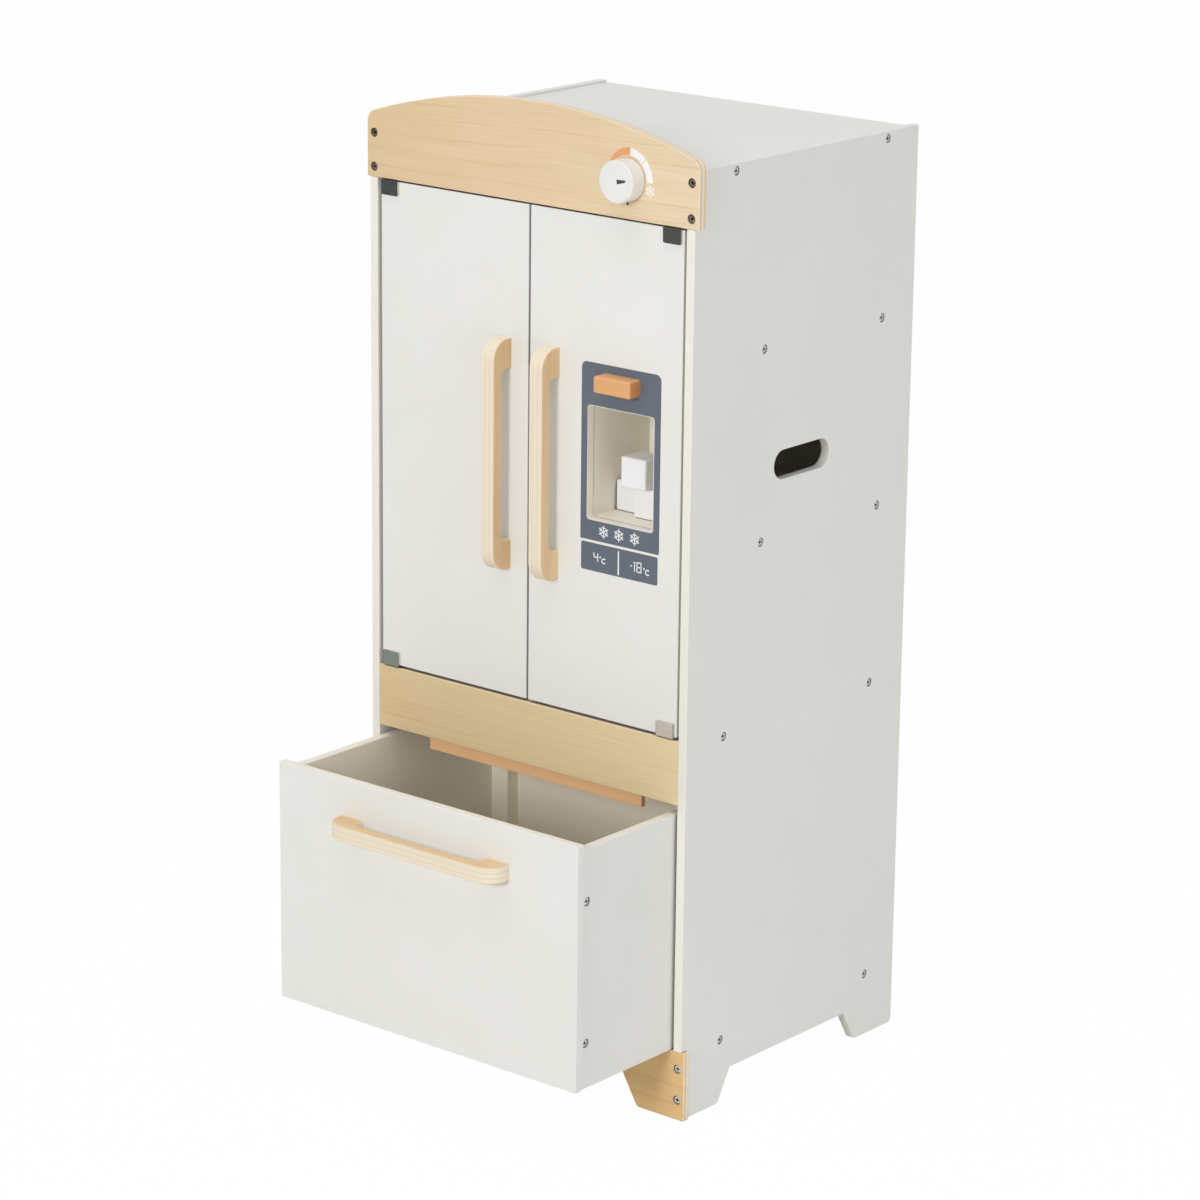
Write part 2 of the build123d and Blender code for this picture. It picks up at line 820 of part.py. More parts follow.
with BuildPart() as drawer_front:
    with BuildSketch(Plane.XZ.offset(-drawer_front_back)):
        with Locations((0, (drawer_bottom_z + drawer_top_z) / 2)):
            Rectangle(drawer_width, drawer_top_z - drawer_bottom_z)
    extrude(amount=drawer_front_thickness)
    fillet(drawer_front.edges(), edge_round)
    with BuildSketch(Plane.XZ.offset(-drawer_front_back)):
        with Locations((0, drawer_floor_z + drawer_floor / 2)):
            Rectangle(2 * (box_inner + groove_depth), drawer_floor)
    extrude(amount=groove_depth, mode=Mode.SUBTRACT)
    with Locations(*handle_screw_places(drawer_handle_length, drawer_handle_base, drawer_front_thickness)):
        Hole(small_shank_radius + turn_gap)


def drawer_screw_points():
    """The screw points (y, z) on a drawer side, in the middle of its battens."""
    front_row = drawer_front_back + batten_depth / 2
    back_row = box_back - board - batten_depth / 2
    return [(y, z) for y in (front_row, back_row) for z in drawer_screw_heights]


def drawer_side(side):
    """A side of the drawer's box, grooved for its floor."""
    with BuildPart() as one:
        with BuildSketch(Plane.YZ.offset(min(side * box_inner, side * box_width / 2))):
            with Locations(((drawer_front_back + box_back) / 2, (box_bottom_z + box_top_z) / 2)):
                Rectangle(box_back - drawer_front_back, box_top_z - box_bottom_z)
        extrude(amount=board)
        fillet(one.edges(), edge_round)
        with BuildSketch(Plane.XY.offset(drawer_floor_z)):
            with Locations((0, box_middle_y)):
                Rectangle(2 * (box_inner + groove_depth), box_length_inside + 2 * groove_depth)
        extrude(amount=drawer_floor, mode=Mode.SUBTRACT)
        with Locations(*[outward(side, side * box_width / 2, y, z) for y, z in drawer_screw_points()]):
            CounterBoreHole(
                small_shank_radius + turn_gap,
                side_head_radius + head_gap,
                side_head_sink + small_head_height,
            )
    return one


drawer_left_side = drawer_side(-1)
drawer_right_side = drawer_side(1)

with BuildPart() as drawer_back:
    with BuildSketch(Plane.XZ.offset(-box_back)):
        with Locations((0, (box_bottom_z + box_top_z) / 2)):
            Rectangle(2 * box_inner, box_top_z - box_bottom_z)
    extrude(amount=board)
    with BuildSketch(Plane.XZ.offset(-box_back + board)):
        with Locations((0, drawer_floor_z + drawer_floor / 2)):
            Rectangle(2 * box_inner, drawer_floor)
    extrude(amount=-groove_depth, mode=Mode.SUBTRACT)

with BuildPart() as drawer_bottom:
    with BuildSketch(Plane.XY.offset(drawer_floor_z)):
        with Locations((0, box_middle_y)):
            Rectangle(2 * (box_inner + groove_depth), box_length_inside)
        with Locations((0, box_middle_y)):
            Rectangle(2 * box_inner, box_length_inside + 2 * groove_depth)
    extrude(amount=drawer_floor)

with BuildPart() as drawer_corner_battens:
    batten_x = box_inner - batten_width / 2
    batten_ys = (drawer_front_back + batten_depth / 2, box_back - board - batten_depth / 2)
    with BuildSketch(Plane.XY.offset(drawer_floor_z + drawer_floor)):
        with Locations(*[(side * batten_x, y) for side in (-1, 1) for y in batten_ys]):
            Rectangle(batten_width, batten_depth)
    extrude(amount=batten_top_z - drawer_floor_z - drawer_floor)
    for side in (-1, 1):
        with Locations(*[outward(side, side * box_inner, y, z) for y, z in drawer_screw_points()]):
            Hole(
                small_shank_radius + turn_gap,
                depth=side_head_sink + small_head_height + drawer_screw_length - board,
            )

drawer_side_screws = screws(
    screw(side_head_radius, small_head_height, small_shank_radius, drawer_screw_length),
    [
        outward(side, side * (box_width / 2 - side_head_sink), y, z)
        for side in (-1, 1) for y, z in drawer_screw_points()
    ],
)

os.makedirs("parts", exist_ok=True)

pieces = {
    "left_side_panel": left_side_panel,
    "right_side_panel": right_side_panel,
    "top_panel": top_panel,
    "back_panel": back_panel,
    "upper_shelf": upper_shelf,
    "lower_shelf": lower_shelf,
    "middle_deck": middle_deck,
    "bottom_panel": bottom_panel,
    "header_panel": header_panel,
    "middle_rail": middle_rail,
    "plinth_panel": plinth_panel,
    "drawer_stop": drawer_stop,
    "side_panel_screws": side_panel_screws,
    "header_screws": header_screws,
    "plinth_screws": plinth_screws,
    "back_panel_screws": back_panel_screws,
    "drawer_stop_screws": drawer_stop_screws,
    "rail_dowels": rail_dowels,
    "pivot_bushes": pivot_bushes,
    "magnet_block": magnet_block,
    "catch_magnets": catch_magnets,
    "left_door": left_door,
    "left_door_handle": left_door_handle,
    "left_handle_screws": left_handle_screws,
    "left_corner_clips": left_corner_clips,
    "left_pivot_pins": left_pivot_pins,
    "left_strike_plate": left_strike_plate,
    "right_door": right_door,
    "right_door_handle": right_door_handle,
    "right_handle_screws": right_handle_screws,
    "right_corner_clips": right_corner_clips,
    "right_pivot_pins": right_pivot_pins,
    "right_strike_plate": right_strike_plate,
    "dispenser_floor": dispenser_floor,
    "dispenser_roof": dispenser_roof,
    "dispenser_left_wall": dispenser_left_wall,
    "dispenser_right_wall": dispenser_right_wall,
    "dispenser_back": dispenser_back,
    "ice_cube_left": ice_cube_left,
    "ice_cube_right": ice_cube_right,
    "ice_cube_top": ice_cube_top,
    "dispenser_button": dispenser_button,
    "button_housing": button_housing,
    "button_spring": button_spring,
    "knob": knob,
    "knob_screw": knob_screw,
    "drawer_front": drawer_front,
    "drawer_left_side": drawer_left_side,
    "drawer_right_side": drawer_right_side,
    "drawer_back": drawer_back,
    "drawer_bottom": drawer_bottom,
    "drawer_corner_battens": drawer_corner_battens,
    "drawer_handle": drawer_handle,
    "drawer_handle_screws": drawer_handle_screws,
    "drawer_side_screws": drawer_side_screws,
}

for label, piece in pieces.items():
    piece.part.label = label
    export_step(piece.part, f"parts/{label}.step")
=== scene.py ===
import math

import bmesh
import bpy
from mathutils import Matrix, Vector


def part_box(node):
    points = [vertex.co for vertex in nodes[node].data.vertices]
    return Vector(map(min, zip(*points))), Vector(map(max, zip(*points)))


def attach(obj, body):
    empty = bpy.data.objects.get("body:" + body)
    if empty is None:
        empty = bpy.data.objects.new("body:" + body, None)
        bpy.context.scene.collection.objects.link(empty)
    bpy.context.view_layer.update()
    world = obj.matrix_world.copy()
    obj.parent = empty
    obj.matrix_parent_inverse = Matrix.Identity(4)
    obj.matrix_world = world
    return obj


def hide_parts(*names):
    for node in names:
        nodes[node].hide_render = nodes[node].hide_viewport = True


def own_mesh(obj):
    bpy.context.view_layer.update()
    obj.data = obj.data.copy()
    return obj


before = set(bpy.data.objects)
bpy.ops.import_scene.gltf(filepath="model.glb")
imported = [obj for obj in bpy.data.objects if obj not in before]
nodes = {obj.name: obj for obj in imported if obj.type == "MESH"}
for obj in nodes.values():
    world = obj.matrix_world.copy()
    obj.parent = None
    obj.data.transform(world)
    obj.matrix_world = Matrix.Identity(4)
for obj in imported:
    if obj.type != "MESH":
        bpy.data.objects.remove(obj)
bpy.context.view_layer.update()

MM = 0.001
# Where the fronts of the doors, of the header and of the knob are, in millimetres
DOOR_FACE = -171.0
WOOD_FACE = -172.0
KNOB_FACE = -190.0
# The thickness of the printing ink, in millimetres
INK = 0.08
# How squarely a face looks along an axis to count as facing that way
FACING = 0.72


# Camera

def aim_camera():
    """The camera that the photograph was taken with."""
    place = (2.5581, -3.1563, 1.6196)
    yaw, pitch, roll = math.radians(39.56), math.radians(16.107), math.radians(0.639)
    right = Vector((math.cos(yaw), math.sin(yaw), 0))
    ahead = Vector((
        -math.sin(yaw) * math.cos(pitch),
        math.cos(yaw) * math.cos(pitch),
        -math.sin(pitch),
    ))
    up = right.cross(ahead)
    x_axis = right * math.cos(roll) + up * math.sin(roll)
    y_axis = up * math.cos(roll) - right * math.sin(roll)
    data = bpy.data.cameras.new("camera")
    data.sensor_width = 36.0
    data.lens = 127.76
    data.clip_start = 0.1
    data.clip_end = 200.0
    camera = bpy.data.objects.new("camera", data)
    bpy.context.scene.collection.objects.link(camera)
    turn = Matrix((x_axis, y_axis, -ahead)).transposed().to_4x4()
    camera.matrix_world = Matrix.Translation(place) @ turn
    bpy.context.scene.camera = camera


# Materials

def srgb(red, green, blue):
    """A colour as a picture gives it, from 0 to 255, in the linear values that a shader takes."""
    channels = []
    for value in (red / 255, green / 255, blue / 255):
        channels.append(value / 12.92 if value <= 0.04045 else ((value + 0.055) / 1.055) ** 2.4)
    return (*channels, 1.0)


class Finish:
    """A material and its nodes."""

    def __init__(self, name, **sockets):
        self.material = bpy.data.materials.new(name)
        self.material.use_nodes = True
        self.tree = self.material.node_tree
        self.shader = self.tree.nodes["Principled BSDF"]
        for socket, value in sockets.items():
            self.shader.inputs[socket.replace("_", " ")].default_value = value
        places = self.tree.nodes.new("ShaderNodeTexCoord")
        self.place = places.outputs["Object"]
        self.normal = places.outputs["Normal"]

    def node(self, kind, settings=None, **inputs):
        """A node, with each input set to a value or joined to an output."""
        made = self.tree.nodes.new("ShaderNode" + kind)
        for key, value in (settings or {}).items():
            setattr(made, key, value)
        for key, value in inputs.items():
            socket = made.inputs[int(key[1:]) if key[1:].isdigit() else key.replace("_", " ")]
            if isinstance(value, bpy.types.NodeSocket):
                self.tree.links.new(value, socket)
            else:
                socket.default_value = value
        return made

    def math(self, operation, first, second=0.0):
        """One sum on two numbers."""
        return self.node("Math", {"operation": operation}, i0=first, i1=second).outputs[0]

    def scaled(self, x, y, z):
        """The place on the piece, stretched along each axis."""
        return self.node("Mapping", Vector=self.place, Scale=(x, y, z)).outputs[0]

    def noise(self, vector, scale, detail=2.0, roughness=0.5):
        """Soft noise from 0 to 1."""
        return self.node(
            "TexNoise", Vector=vector, Scale=scale, Detail=detail, Roughness=roughness
        ).outputs[0]

    def total(self, *parts):
        """The sum of several outputs, each times its share."""
        sum_of_parts = None
        for output, share in parts:
            part = self.math("MULTIPLY", output, share)
            sum_of_parts = part if sum_of_parts is None else self.math("ADD", sum_of_parts, part)
        return sum_of_parts

    def to_and_fro(self, length, span):
        """How far along its span a length is, rising to 1 and falling to 0 in turn."""
        return self.math("DIVIDE", self.math("PINGPONG", length, span), span)

    def ramp(self, factor, *stops):
        """Colours between stops, each a place from 0 to 1 and a colour."""
        made = self.node("ValToRGB", Fac=factor)
        elements = made.color_ramp.elements
        while len(elements) < len(stops):
            elements.new(0.5)
        for element, (position, colour) in zip(elements, stops):
            element.position = position
            element.color = colour
        return made.outputs[0]

    def two_tone(self, factor, dark, light):
        """A soft change from one colour to another."""
        return self.ramp(factor, (0.3, dark), (0.7, light))

    def level(self, factor, low, high):
        """A number from 0 to 1 spread between two others."""
        return self.node("MapRange", Value=factor, To_Min=low, To_Max=high).outputs[0]

    def mix(self, factor, first, second):
        """Two colours mixed."""
        made = self.tree.nodes.new("ShaderNodeMix")
        made.data_type = "RGBA"
        for index, value in ((0, factor), (6, first), (7, second)):
            if isinstance(value, bpy.types.NodeSocket):
                self.tree.links.new(value, made.inputs[index])
            else:
                made.inputs[index].default_value = value
        return made.outputs[2]

    def part_of(self, vector, axis):
        """One of the three numbers of a vector."""
        return self.node("SeparateXYZ", Vector=vector).outputs[axis]

    def faces(self, axis):
        """1 on the faces that look along an axis, 0 on the others."""
        toward = self.math("ABSOLUTE", self.part_of(self.normal, axis))
        return self.math("GREATER_THAN", toward, FACING)

    def painted_crevice_shade(self, colour, reach, tone, least, most):
        """Painted shade: the colour turns to a dark tone in gaps and holes that are narrower than reach,
        where
        light is shut out: wholly where less than the least share of them is open, and not at all above the
        most."""
        open_share = self.node("AmbientOcclusion", {"samples": 8}, Distance=reach).outputs["AO"]
        shade = self.node(
            "MapRange", Value=open_share, From_Min=least, From_Max=most, To_Min=1.0, To_Max=0.0
        )
        return self.mix(shade.outputs[0], colour, tone)

    def surface(self, colour, roughness, height, distance, strength):
        """Joins the colour, the roughness and a bump to the shader."""
        bump = self.node("Bump", Height=height, Distance=distance, Strength=strength)
        for output, socket in ((colour, "Base Color"), (roughness, "Roughness"), (bump.outputs[0], "Normal")):
            self.tree.links.new(output, self.shader.inputs[socket])
        return self.material


def painted_board(name, light, dark, roughness=0.42, inner=(), seam=None):
    """Sprayed paint on board: faint clouds, a fine skin and uneven gloss, and painted shade in gaps. inner
    holds an axis, a way and a colour for the faces that look that way: painted light, a brighter, warmer tint
    where light falls or bounces. seam is the depth at which a glued joint shows."""
    seam_width = 0.0016
    made = Finish(name, Specular_IOR_Level=0.35)
    clouds = made.noise(made.place, 7.0, 4.0, 0.6)
    specks = made.noise(made.place, 900.0, 1.0)
    colour = made.mix(made.level(specks, 0.0, 0.06), made.two_tone(clouds, dark, light), dark)
    # Painted light: faces that look the given way take a brighter, warmer tint.
    for axis, way, tone in inner:
        toward = made.math("MULTIPLY", made.part_of(made.normal, axis), way)
        facing_light_tint = made.mix(made.level(clouds, 0.0, 0.25), tone, dark)
        colour = made.mix(made.math("GREATER_THAN", toward, FACING), colour, facing_light_tint)
    if seam is not None:
        from_seam = made.math("SUBTRACT", made.part_of(made.place, 1), seam)
        colour = made.mix(made.math("LESS_THAN", from_seam, seam_width), colour, srgb(184, 168, 138))
    # Painted shade, dark brown, in gaps and screw bores, such as under the header and between the doors.
    colour = made.painted_crevice_shade(colour, 0.005, srgb(86, 72, 60), 0.1, 0.4)
    skin = made.noise(made.place, 420.0, 2.0)
    rough = made.level(made.noise(made.place, 26.0, 3.0), roughness - 0.06, roughness + 0.08)
    return made.surface(colour, rough, skin, 0.00006, 0.35)


def veneered_board(name, stops, line, front, arch):
    """A board with veneer on its front and back, its grain along X, and layered edges. arch is how far
    its growth lines rise and fall along the board."""
    ring_span, layer_span, waves = 0.009, 0.0028, 1300.0
    made = Finish(name, Specular_IOR_Level=0.4)
    wander = made.noise(made.scaled(2.1, 1.0, 6.0), 1.0, 2.0, 0.4)
    drift = made.noise(made.scaled(14.0, 4.0, 40.0), 1.0, 2.0, 0.5)
    along, depth, height = (made.part_of(made.place, axis) for axis in range(3))
    grown = made.total((height, 1.0), (wander, arch), (drift, 0.005))
    close = made.math("SINE", made.math("MULTIPLY", grown, waves))
    fibre = made.noise(made.scaled(16.0, 300.0, 700.0), 1.0, 3.0, 0.6)
    streaks = made.noise(made.scaled(5.0, 60.0, 150.0), 1.0, 3.0, 0.55)
    clouds = made.noise(made.scaled(3.0, 3.0, 10.0), 1.0, 3.0)
    # Painted light: along makes the wood lighter towards +X, a gradient of light across the board.
    tone = made.total((close, 0.03), (fibre, 0.18), (streaks, 0.25), (clouds, 0.6), (along, 0.7))
    colour = made.ramp(tone, *stops)
    rings = made.to_and_fro(grown, ring_span)
    lines = made.ramp(rings, (0.80, (0, 0, 0, 1)), (0.97, (1, 1, 1, 1)))
    faint = made.noise(made.scaled(5.0, 3.0, 24.0), 1.0, 2.0)
    faint = made.node("MapRange", Value=faint, From_Min=0.42, From_Max=0.66, To_Min=0.0, To_Max=0.4)
    lines = made.math("MULTIPLY", lines, faint.outputs[0])
    colour = made.mix(lines, colour, line)
    layer = made.to_and_fro(made.math("SUBTRACT", depth, front), layer_span)
    end_grain = made.noise(made.scaled(120.0, 500.0, 120.0), 1.0, 2.0)
    edge = made.ramp(
        layer,
        (0.0, srgb(246, 233, 209)),
        (0.78, srgb(241, 225, 198)),
        (0.88, srgb(208, 182, 148)),
        (0.96, srgb(214, 190, 156)),
    )
    edge = made.mix(made.level(end_grain, 0.0, 0.25), edge, srgb(214, 192, 160))
    colour = made.mix(made.faces(1), edge, colour)
    # Painted shade in the counterbores and gaps of the wood.
    colour = made.painted_crevice_shade(colour, 0.004, srgb(120, 100, 72), 0.25, 0.7)
    rough = made.level(fibre, 0.42, 0.58)
    return made.surface(colour, rough, fibre, 0.00008, 0.4)


def plywood(name, across, along, middle):
    """A handle sawn from plywood: veneer on the two flat sides that its layers lie across, its grain
    along another axis, and layers on its edges. middle is where the middle of the layers is."""
    layer_span = 0.0026
    made = Finish(name, Specular_IOR_Level=0.4)
    stretch = [1.0, 1.0, 1.0]
    stretch[along] = 0.1
    grain_place = made.scaled(*stretch)
    figure = made.noise(grain_place, 55.0, 3.0, 0.6)
    fibre_scale = [330.0, 330.0, 330.0]
    fibre_scale[along] = 12.0
    fibre = made.noise(made.scaled(*fibre_scale), 1.0, 3.0, 0.6)
    veneer = made.ramp(figure, (0.3, srgb(226, 193, 147)), (0.7, srgb(238, 210, 168)))
    veneer = made.mix(made.level(fibre, 0.0, 0.25), veneer, srgb(212, 174, 124))
    wobble = made.math("MULTIPLY", made.noise(grain_place, 45.0, 2.0), 0.0006)
    depth = made.math("ADD", made.part_of(made.place, across), made.math("SUBTRACT", wobble, middle))
    layer = made.to_and_fro(depth, layer_span)
    edge = made.ramp(
        layer,
        (0.0, srgb(238, 225, 203)),
        (0.60, srgb(244, 234, 216)),
        (0.82, srgb(226, 207, 179)),
        (0.94, srgb(238, 224, 202)),
    )
    edge = made.mix(made.level(fibre, 0.0, 0.28), edge, srgb(226, 203, 168))
    colour = made.mix(made.faces(across), edge, veneer)
    rough = made.level(fibre, 0.45, 0.62)
    return made.surface(colour, rough, fibre, 0.00008, 0.4)


def stained_wood(name, light, dark, end):
    """Solid wood under a thin stain, with its grain along X and darker ends."""
    made = Finish(name, Specular_IOR_Level=0.4)
    figure = made.noise(made.scaled(6.0, 60.0, 60.0), 1.0, 3.0, 0.6)
    fibre = made.noise(made.scaled(30.0, 420.0, 520.0), 1.0, 3.0, 0.6)
    tone = made.total((figure, 0.65), (fibre, 0.35))
    colour = made.two_tone(tone, dark, light)
    colour = made.mix(made.faces(0), colour, end)
    rough = made.level(fibre, 0.4, 0.55)
    return made.surface(colour, rough, fibre, 0.00008, 0.45)


def white_wood(name, light, dark):
    """White paint through which a little of the wood's grain still shows."""
    made = Finish(name, Specular_IOR_Level=0.35)
    fibre = made.noise(made.scaled(26.0, 500.0, 500.0), 1.0, 3.0, 0.6)
    clouds = made.noise(made.place, 30.0, 3.0)
    colour = made.mix(made.level(fibre, 0.0, 0.5), made.two_tone(clouds, dark, light), light)
    rough = made.level(clouds, 0.38, 0.52)
    return made.surface(colour, rough, fibre, 0.00005, 0.35)


def bright_metal(name, light, dark, recess_shade):
    """Plated steel with fine rub marks, with painted shade in its crossed recesses."""
    made = Finish(name, Metallic=1.0)
    marks = made.noise(made.scaled(260.0, 260.0, 1500.0), 1.0, 2.0)
    clouds = made.noise(made.place, 160.0, 3.0)
    colour = made.two_tone(clouds, dark, light)
    # Painted shade: the crossed recesses turn to the recess shade colour.
    colour = made.painted_crevice_shade(colour, 0.0025, recess_shade, 0.6, 0.92)
    return made.surface(colour, made.level(marks, 0.25, 0.38), marks, 0.00002, 0.25)


def clip_painted_reflections(name, upper, lower, middle):
    """Polished steel clips with painted reflections: the flat plates are darker than the folded edges, which
    carry a painted highlight, the upper ones darker than the lower ones, and each has a dark painted rim.
    middle is how far the clips are from the centre line."""
    between_clips, rim_start = 0.6, 0.0098
    made = Finish(name, Metallic=1.0)
    clouds = made.noise(made.scaled(90.0, 90.0, 240.0), 1.0, 3.0)
    height = made.part_of(made.place, 2)
    upper_clips = made.math("GREATER_THAN", height, between_clips)
    # Painted reflections: the upper clips' plates dark, the lower ones lighter.
    plate = made.mix(upper_clips, lower, upper)
    plate = made.mix(made.level(clouds, 0.0, 0.3), plate, srgb(120, 122, 118))
    aside = made.math("ABSOLUTE", made.math("SUBTRACT", made.part_of(made.place, 0), middle))
    # A dark painted reflection near each clip's rim.
    dark_rim_reflection = made.math("MULTIPLY", made.math("GREATER_THAN", aside, rim_start), 0.45)
    plate = made.mix(dark_rim_reflection, plate, srgb(96, 94, 88))
    # A painted highlight on the folded edges; the plates take the painted reflections.
    colour = made.mix(made.faces(1), srgb(206, 206, 200), plate)
    marks = made.noise(made.scaled(260.0, 260.0, 1500.0), 1.0, 2.0)
    return made.surface(colour, made.level(marks, 0.12, 0.24), marks, 0.00002, 0.2)


def plain_plastic(name, light, dark):
    """Moulded plastic."""
    made = Finish(name)
    clouds = made.noise(made.place, 120.0, 3.0)
    colour = made.two_tone(clouds, dark, light)
    return made.surface(colour, made.level(clouds, 0.35, 0.5), clouds, 0.00003, 0.3)


def printed_ink(name, light, dark):
    """A flat layer of printing ink, a little uneven in tone."""
    made = Finish(name, Specular_IOR_Level=0.3)
    clouds = made.noise(made.place, 45.0, 4.0, 0.65)
    dots = made.noise(made.place, 2600.0, 1.0)
    colour = made.mix(made.level(dots, 0.0, 0.12), made.two_tone(clouds, dark, light), dark)
    return made.surface(colour, made.level(clouds, 0.45, 0.58), dots, 0.00003, 0.2)


def dress(finish, *names):
    """Puts one finish on CAD nodes."""
    for name in names:
        for slot in nodes[name].material_slots:
            slot.material = finish


def dress_nodes():
    """Gives each CAD node its finish."""
    light, dark = srgb(236, 235, 231), srgb(232, 231, 226)
    # Painted bounce light: the inner colours and the inner tint are warmer and brighter than the outside
    # paint.
    inner_bounce_light, inner_bounce_dark, inner = srgb(246, 241, 228), srgb(241, 235, 221), srgb(245, 239, 226)
    # rim lightens top faces: a painted highlight on the drawer front's top edge, and the cream of the drawer
    # sides' top edges.
    rim = srgb(244, 239, 227)
    recess_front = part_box("dispenser_left_wall")[0][1]
    dress(painted_board("white_paint", light, dark), "top_panel", "left_door")
    # Painted light: faces that look to the front, the hand holes' far walls among them, are painted brighter.
    dress(
        painted_board("side_paint_painted_light", light, dark, inner=((1, -1.0, srgb(240, 236, 226)),)),
        "left_side_panel", "right_side_panel",
    )
    # Painted highlight on the drawer front's top faces.
    dress(painted_board("rim_paint_painted_highlight", light, dark, inner=((2, 1.0, rim),)), "drawer_front")
    # Painted light: faces that look right and up, the window's cut edges among them, are painted warm.
    dress(
        painted_board("window_paint_painted_light", light, dark, inner=((0, 1.0, inner), (2, 1.0, inner))), "right_door"
    )
    # Painted bounce light on the inside pieces.
    dress(
        painted_board("inner_paint_painted_bounce", inner_bounce_light, inner_bounce_dark, 0.5),
        "back_panel", "upper_shelf", "lower_shelf", "middle_deck", "bottom_panel", "magnet_block",
        "button_housing",
    )
    # Painted light: the drawer's inside is painted brighter and warmer still.
    dress(
        painted_board("drawer_paint_painted_light", srgb(254, 248, 234), srgb(250, 243, 227), 0.5),
        "drawer_back", "drawer_bottom", "drawer_corner_battens",
    )
    # Painted light: the dispenser recess is painted brighter and warmer; the seam is a glued joint.
    dress(
        painted_board("recess_paint_painted_light", srgb(250, 245, 232), srgb(246, 240, 226), 0.5, seam=recess_front),
        "dispenser_floor", "dispenser_roof", "dispenser_left_wall", "dispenser_right_wall",
        "dispenser_back",
    )
    # Painted light on the drawer sides: a warm tint on their inner faces, and the rim tint on their tops.
    for side, way in (("left", 1.0), ("right", -1.0)):
        dress(
            painted_board(f"{side}_drawer_paint_painted_light", light, dark, inner=((0, way, inner), (2, 1.0, rim))),
            f"drawer_{side}_side",
        )
    line = srgb(204, 166, 118)
    dress(
        veneered_board(
            "header_veneer",
            ((0.30, srgb(221, 193, 152)), (0.5, srgb(228, 202, 165)), (0.72, srgb(236, 215, 183))),
            line, -0.172, 0.11,
        ),
        "header_panel",
    )
    dress(
        veneered_board(
            "rail_veneer",
            ((0.30, srgb(217, 190, 143)), (0.5, srgb(226, 202, 157)), (0.72, srgb(234, 213, 172))),
            line, -0.1725, 0.06,
        ),
        "middle_rail", "rail_dowels",
    )
    dress(
        veneered_board(
            "plinth_veneer",
            ((0.30, srgb(211, 166, 103)), (0.5, srgb(221, 180, 119)), (0.72, srgb(230, 194, 138))),
            srgb(194, 146, 88), -0.172, 0.05,
        ),
        "plinth_panel",
    )
    for side, middle in (("left", -0.0284), ("right", 0.0316)):
        dress(plywood(f"{side}_plywood", 0, 2, middle), f"{side}_door_handle")
    dress(plywood("drawer_plywood", 2, 0, 0.271), "drawer_handle")
    dress(
        stained_wood("orange_stain", srgb(231, 175, 120), srgb(223, 164, 108), srgb(206, 138, 82)),
        "dispenser_button",
    )
    dress(
        stained_wood("bar_wood", srgb(246, 200, 152), srgb(238, 190, 140), srgb(230, 180, 132)),
        "drawer_stop",
    )
    dress(
        white_wood("cube_paint", srgb(247, 246, 248), srgb(242, 241, 243)),
        "ice_cube_left", "ice_cube_right", "ice_cube_top",
    )
    dress(white_wood("knob_paint", srgb(236, 235, 232), srgb(230, 229, 225)), "knob")
    # The last colour is the painted shade in the screws' crossed recesses.
    dress(
        bright_metal("zinc", srgb(220, 219, 214), srgb(196, 195, 190), srgb(10, 8, 7)),
        "side_panel_screws", "plinth_screws", "back_panel_screws", "drawer_stop_screws",
        "drawer_side_screws", "drawer_handle_screws", "left_handle_screws", "right_handle_screws",
        "left_strike_plate", "right_strike_plate", "left_pivot_pins", "right_pivot_pins",
        "catch_magnets", "button_spring", "knob_screw",
    )
    # The last colour is the painted shade in the screws' crossed recesses.
    dress(
        bright_metal("dark_steel", srgb(152, 136, 126), srgb(92, 77, 70), srgb(8, 6, 5)),
        "header_screws",
    )
    # Painted reflections: each side's plate colours, dark for the upper clips and lighter for the lower ones.
    for side, upper, lower in (
        ("left", srgb(66, 69, 68), srgb(128, 135, 130)),
        ("right", srgb(74, 72, 66), srgb(206, 195, 184)),
    ):
        clips_low, clips_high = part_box(f"{side}_corner_clips")
        middle = (clips_low[0] + clips_high[0]) / 2
        dress(clip_painted_reflections(f"{side}_chrome", upper, lower, middle), f"{side}_corner_clips")
    dress(plain_plastic("nylon", srgb(232, 231, 226), srgb(222, 221, 215)), "pivot_bushes")


# Printed marks, drawn in millimetres on upright planes

def rounded_box(left, right, bottom, top, corners):
    """The outline of a box whose corners (lower left, lower right, upper right, upper left) are round."""
    steps = 8
    places = (
        (left, bottom, 1, 1, 180),
        (right, bottom, -1, 1, 270),
        (right, top, -1, -1, 0),
        (left, top, 1, -1, 90),
    )
    points = []
    for (x, z, to_x, to_z, start), radius in zip(places, corners):
        if radius <= 0:
            points.append((x, z))
            continue
        centre_x, centre_z = x + to_x * radius, z + to_z * radius
        for step in range(steps + 1):
            angle = math.radians(start + 90 * step / steps)
            points.append((centre_x + radius * math.cos(angle), centre_z + radius * math.sin(angle)))
    return points


def ring_part(x, z, inner, outer, start, end, last_outer):
    """The outline of part of a ring, between two angles. Its outer radius changes to last_outer."""
    steps = 28
    far, near = [], []
    for step in range(steps + 1):
        share = step / steps
        angle = math.radians(start + (end - start) * share)
        radius = outer + (last_outer - outer) * share ** 1.5
        far.append((x + radius * math.cos(angle), z + radius * math.sin(angle)))
        near.append((x + inner * math.cos(angle), z + inner * math.sin(angle)))
    return far + near[::-1]


def disc(x, z, radius, steps=32):
    """The outline of a round dot."""
    turns = [2 * math.pi * step / steps for step in range(steps)]
    return [(x + radius * math.cos(turn), z + radius * math.sin(turn)) for turn in turns]


